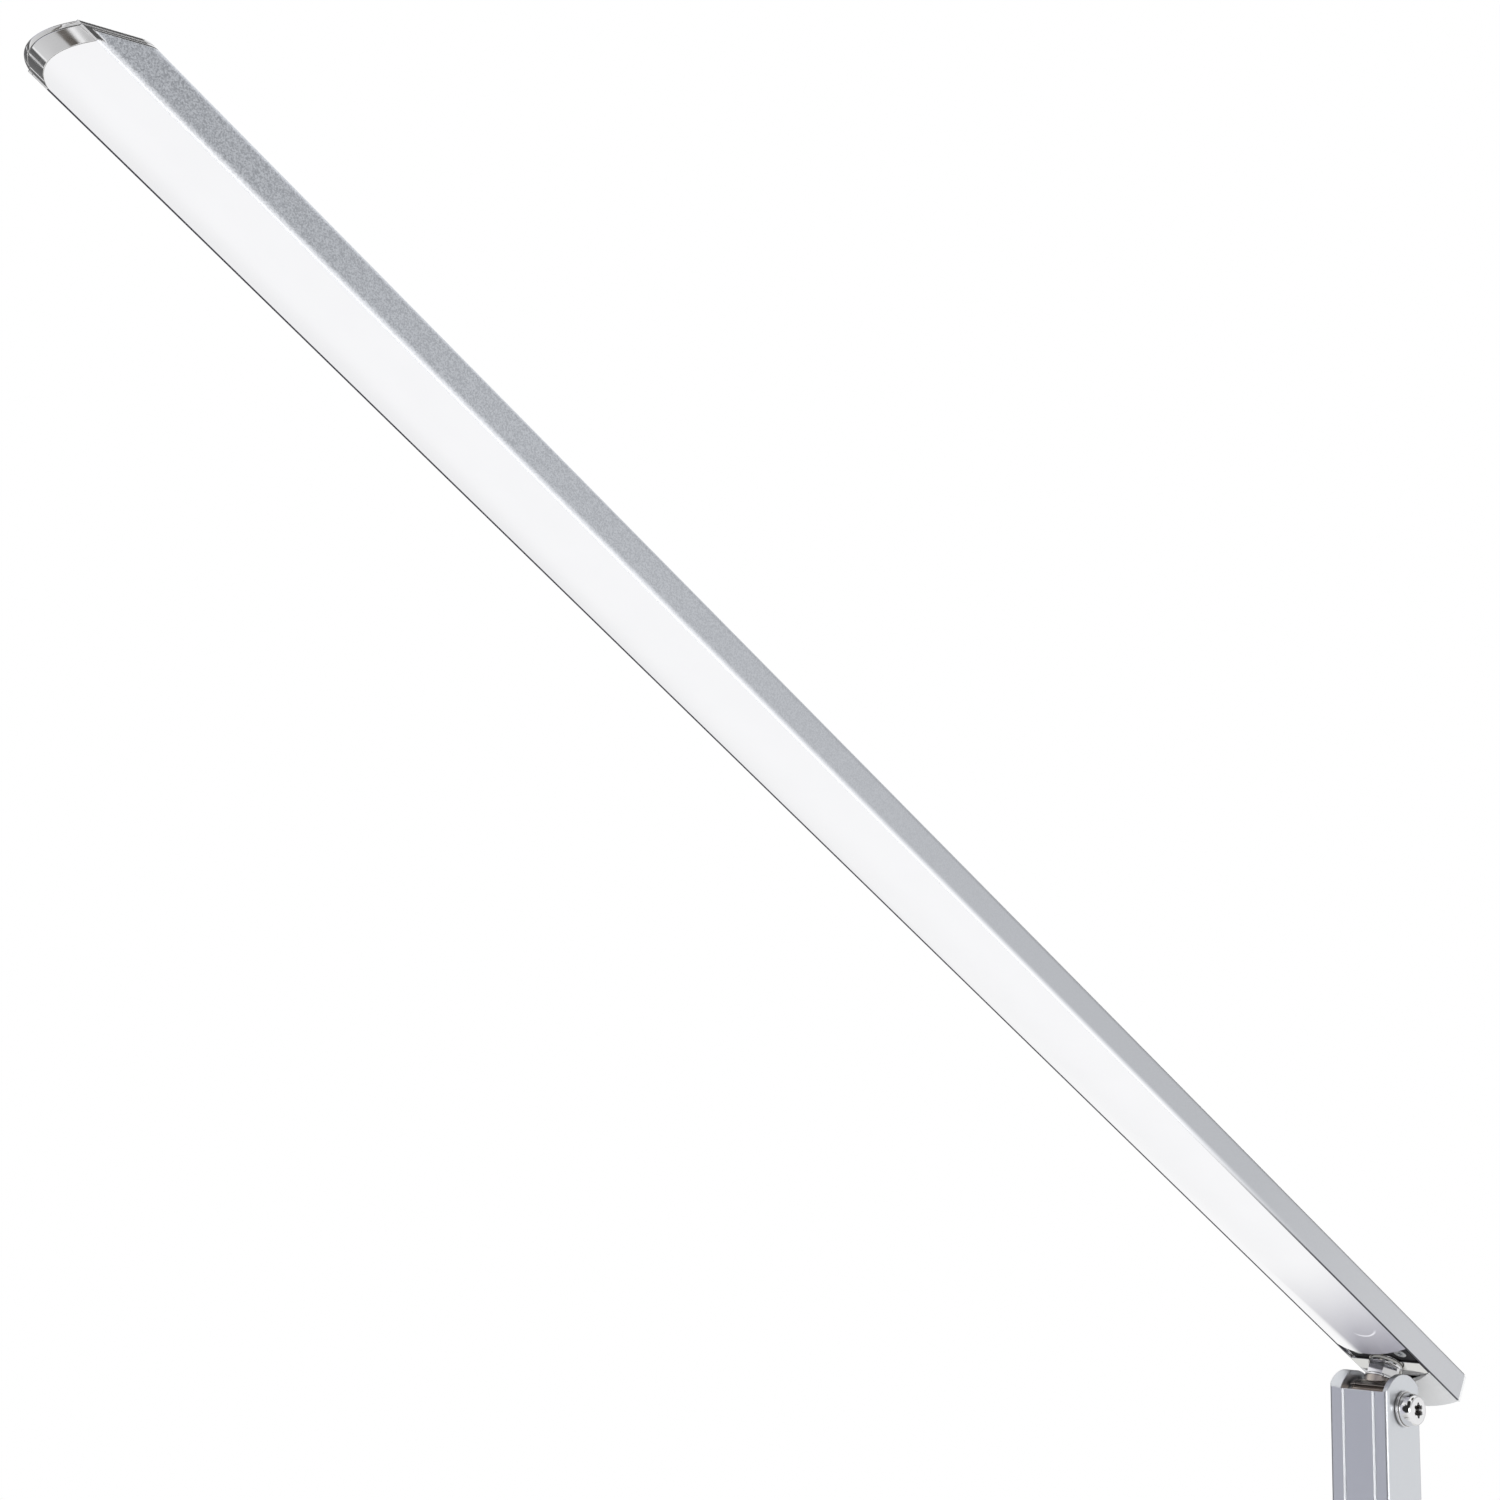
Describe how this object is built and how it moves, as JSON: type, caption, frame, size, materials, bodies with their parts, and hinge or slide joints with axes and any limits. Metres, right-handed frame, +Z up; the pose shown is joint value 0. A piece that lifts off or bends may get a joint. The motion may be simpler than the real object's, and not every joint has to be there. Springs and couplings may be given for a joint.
{
  "type": "light bar",
  "caption": "Slim LED light bar on a grooved aluminium post; the bar tilts on a clevis bolt and swivels on its neck, and a hollow stud under the foot fastens it to a desk or panel.",
  "frame": {"origin": "middle of the foot's underside, on the axis of the mounting stud", "axes": "+Z up along the post, +X along the hinge bolt towards its head, -Y to the grooved front face and the side the light bar reaches over"},
  "size_m": [0.0286, 0.4611, 0.5039],
  "materials": {
    "satin_aluminium": "satin anodised",
    "polished_chrome": "mirror polished",
    "smoked_nickel": "smooth, smoke grey plate",
    "zinc_steel": "zinc plated",
    "brass": "machined",
    "white_nylon": "smooth",
    "pale_plastic": "fine moulded",
    "grey_casting": "powder coated",
    "black_rubber": "matt",
    "black_vinyl": "smooth",
    "red_vinyl": "smooth",
    "opal_acrylic": "opal, lit from inside",
    "led_phosphor": "lit",
    "white_circuit_board": "white solder mask",
    "green_circuit_board": "green solder mask",
    "thermal_silicone": "soft",
    "amber_film": "thin film",
    "black_epoxy": "moulded"
  },
  "bodies": {
    "post": {"post": "satin_aluminium", "foot_plug": "grey_casting", "foot_pad": "black_rubber", "foot_screws": "zinc_steel", "mounting_stud": "zinc_steel", "cable_grommet": "black_rubber", "supply_cable": "black_vinyl", "supply_plug": "black_vinyl", "hinge_bolt": "polished_chrome", "bolt_washer": "polished_chrome", "thread_insert": "brass", "friction_washers": "white_nylon"},
    "knuckle": {"knuckle": "smoked_nickel", "hinge_bushes": "brass", "swivel_tube": "zinc_steel", "swivel_lock_nut": "polished_chrome", "slide_washer": "white_nylon", "stop_washer": "zinc_steel", "disc_spring": "zinc_steel", "retaining_nut": "zinc_steel", "knuckle_leads": "red_vinyl"},
    "light_bar": {"swivel_plate": "polished_chrome", "swivel_plate_screws": "zinc_steel", "light_seal": "black_rubber", "anchor_plate": "zinc_steel", "housing": "satin_aluminium", "diffuser": "opal_acrylic", "end_cover": "pale_plastic", "end_cover_screws": "zinc_steel", "tip_cap": "polished_chrome", "tip_plate": "polished_chrome", "led_board": "white_circuit_board", "led_packages": "led_phosphor", "thermal_pad": "thermal_silicone", "board_screws": "zinc_steel", "control_board": "green_circuit_board", "board_insulator": "amber_film", "control_parts": "black_epoxy", "lead_socket": "white_nylon", "head_leads": "red_vinyl", "led_leads": "black_vinyl"}
  },
  "joints": [
    {"name": "bar_tilt", "type": "hinge", "parent": "post", "child": "knuckle", "pos_m": [0, 0, 0.1755], "axis": [-1, 0, 0], "range_deg": [-29, 61], "stiffness_Nm_per_rad": 0.22, "springref_deg": 76.2},
    {"name": "bar_swivel", "type": "hinge", "parent": "knuckle", "child": "light_bar", "pos_m": [0, 0.00679, 0.18774], "axis": [0, 0.4848, 0.8746], "range_deg": [-90, 90]}
  ]
}
